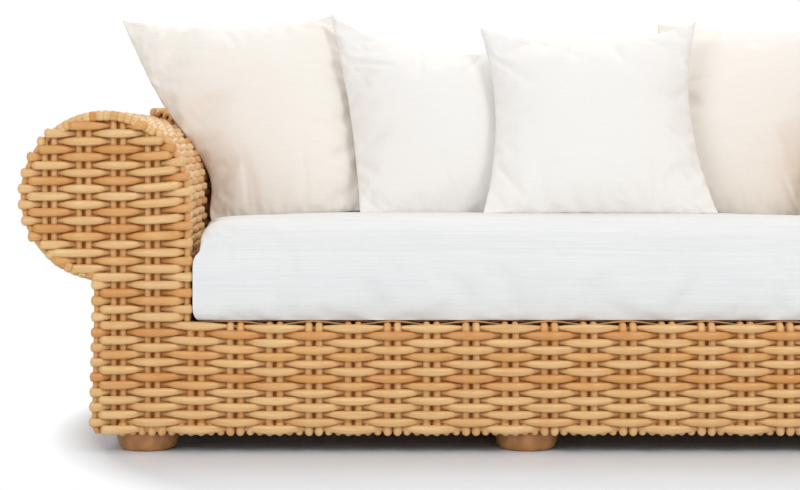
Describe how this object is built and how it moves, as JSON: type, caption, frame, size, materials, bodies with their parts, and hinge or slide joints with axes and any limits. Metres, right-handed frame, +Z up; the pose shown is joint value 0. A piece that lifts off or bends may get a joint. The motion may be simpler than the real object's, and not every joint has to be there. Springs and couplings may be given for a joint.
{
  "type": "rattan garden sofa",
  "caption": "Woven rattan garden sofa with rolled scroll arms and back, turned bun feet, a loose bench seat cushion and scatter pillows.",
  "frame": {"origin": "on the floor, under the middle of the sofa", "axes": "+X to the right seen from the front, +Y to the back, +Z up; the sofa faces -Y"},
  "size_m": [2, 0.818, 0.9004],
  "materials": {
    "rattan": "semi-gloss woven rattan",
    "frame_metal": "powder coat",
    "slat_wood": "oiled",
    "foot_wood": "satin lacquer",
    "steel": "zinc plated",
    "white_canvas": "slub canvas",
    "ivory_linen": "linen",
    "beige_linen": "linen"
  },
  "bodies": {
    "frame": {"base_rail_front": "frame_metal", "base_rail_rear": "frame_metal", "base_bearer_left": "frame_metal", "base_bearer_centre": "frame_metal", "base_bearer_right": "frame_metal", "post_front_left": "frame_metal", "post_front_centre": "frame_metal", "post_front_right": "frame_metal", "post_rear_left": "frame_metal", "post_rear_centre": "frame_metal", "post_rear_right": "frame_metal", "seat_rail_front": "frame_metal", "seat_rail_rear": "frame_metal", "seat_rail_left": "frame_metal", "seat_rail_right": "frame_metal", "seat_slat_1": "slat_wood", "seat_slat_2": "slat_wood", "seat_slat_3": "slat_wood", "seat_slat_4": "slat_wood", "seat_slat_5": "slat_wood", "seat_slat_6": "slat_wood", "seat_deck_weave": "rattan", "front_skirt_weave": "rattan", "arm_weave_left": "rattan", "arm_front_panel_left": "rattan", "arm_rear_panel_left": "rattan", "arm_hoop_front_left": "frame_metal", "arm_hoop_rear_left": "frame_metal", "arm_rail_top_left": "frame_metal", "arm_rail_outer_left": "frame_metal", "arm_weave_right": "rattan", "arm_front_panel_right": "rattan", "arm_rear_panel_right": "rattan", "arm_hoop_front_right": "frame_metal", "arm_hoop_rear_right": "frame_metal", "arm_rail_top_right": "frame_metal", "arm_rail_outer_right": "frame_metal", "back_weave": "rattan", "back_hoop_left": "frame_metal", "back_hoop_centre": "frame_metal", "back_hoop_right": "frame_metal", "back_top_rail": "frame_metal", "foot_front_left": "foot_wood", "foot_bolt_front_left": "steel", "foot_front_centre": "foot_wood", "foot_bolt_front_centre": "steel", "foot_front_right": "foot_wood", "foot_bolt_front_right": "steel", "foot_rear_left": "foot_wood", "foot_bolt_rear_left": "steel", "foot_rear_centre": "foot_wood", "foot_bolt_rear_centre": "steel", "foot_rear_right": "foot_wood", "foot_bolt_rear_right": "steel"},
    "seat_cushion": {"seat_cushion": "white_canvas"},
    "pillow_beige_left": {"pillow_beige_left": "beige_linen"},
    "pillow_white_left": {"pillow_white_left": "ivory_linen"},
    "pillow_white_right": {"pillow_white_right": "ivory_linen"},
    "pillow_beige_right": {"pillow_beige_right": "beige_linen"}
  },
  "joints": [
    {"name": "cushion_lift", "type": "slide", "parent": "frame", "child": "seat_cushion", "axis": [0, 0, 1], "range_m": [0, 0.43]},
    {"name": "pillow_beige_left_lift", "type": "slide", "parent": "seat_cushion", "child": "pillow_beige_left", "axis": [-0.0785, 0.468, 0.8802], "range_m": [0, 0.3]},
    {"name": "pillow_white_left_lift", "type": "slide", "parent": "seat_cushion", "child": "pillow_white_left", "axis": [0, 0.4695, 0.8829], "range_m": [0, 0.3]},
    {"name": "pillow_white_right_lift", "type": "slide", "parent": "seat_cushion", "child": "pillow_white_right", "axis": [0, 0.4695, 0.8829], "range_m": [0, 0.3]},
    {"name": "pillow_beige_right_lift", "type": "slide", "parent": "seat_cushion", "child": "pillow_beige_right", "axis": [0, 0.4695, 0.8829], "range_m": [0, 0.3]}
  ]
}
